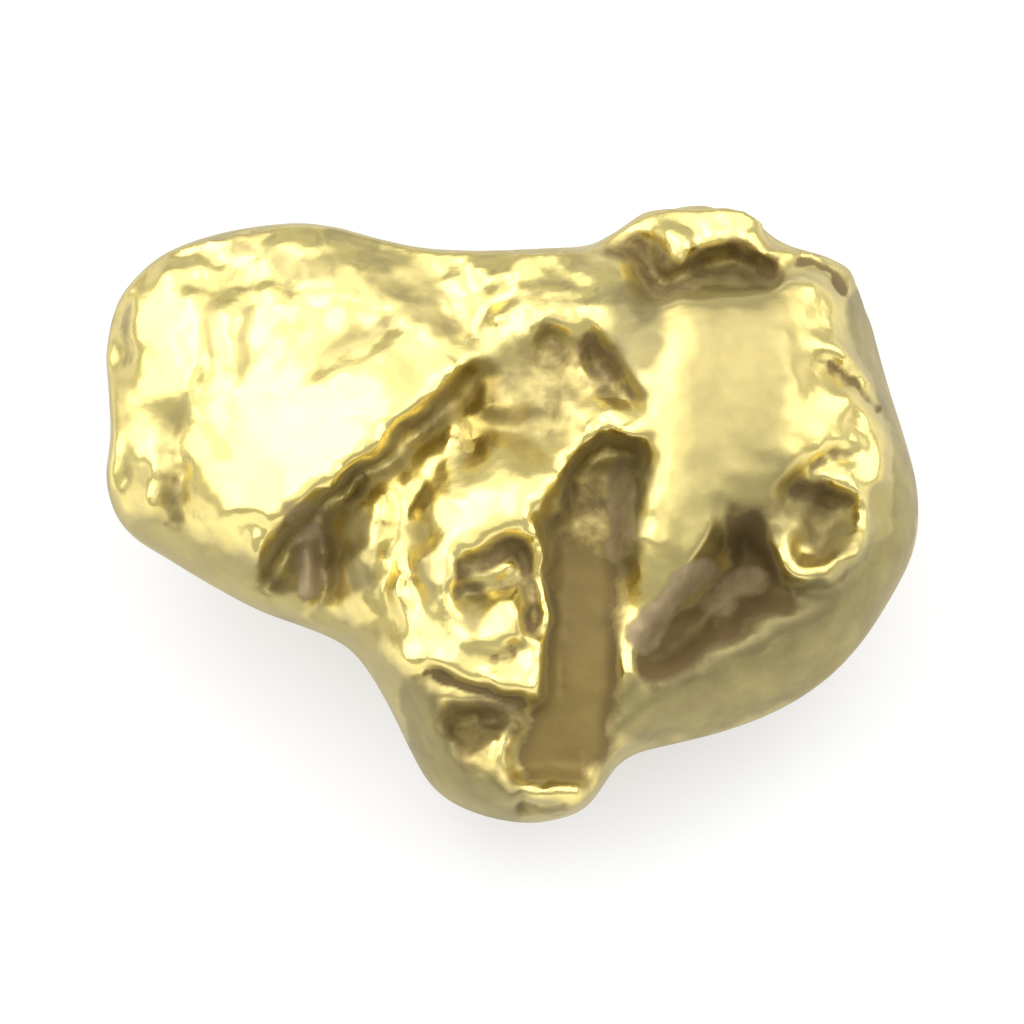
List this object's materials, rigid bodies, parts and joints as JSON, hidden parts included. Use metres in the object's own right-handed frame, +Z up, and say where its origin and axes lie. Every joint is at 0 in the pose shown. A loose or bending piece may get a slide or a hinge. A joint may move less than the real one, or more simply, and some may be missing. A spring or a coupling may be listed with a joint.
{
  "type": "gold nugget",
  "caption": "Small natural gold nugget, lumpy and water-worn, with a deep hollow, a flat-bottomed channel and a ringed pit.",
  "frame": {"origin": "under the middle of the nugget's bounding box, on the level of the table it lies on", "axes": "+X along its longest side, to the right for someone facing its best side; +Y away from that viewer; +Z up"},
  "size_m": [0.012, 0.01, 0.0056],
  "materials": {
    "gold": "satin"
  },
  "bodies": {
    "root": {"nugget": "gold"}
  },
  "joints": []
}
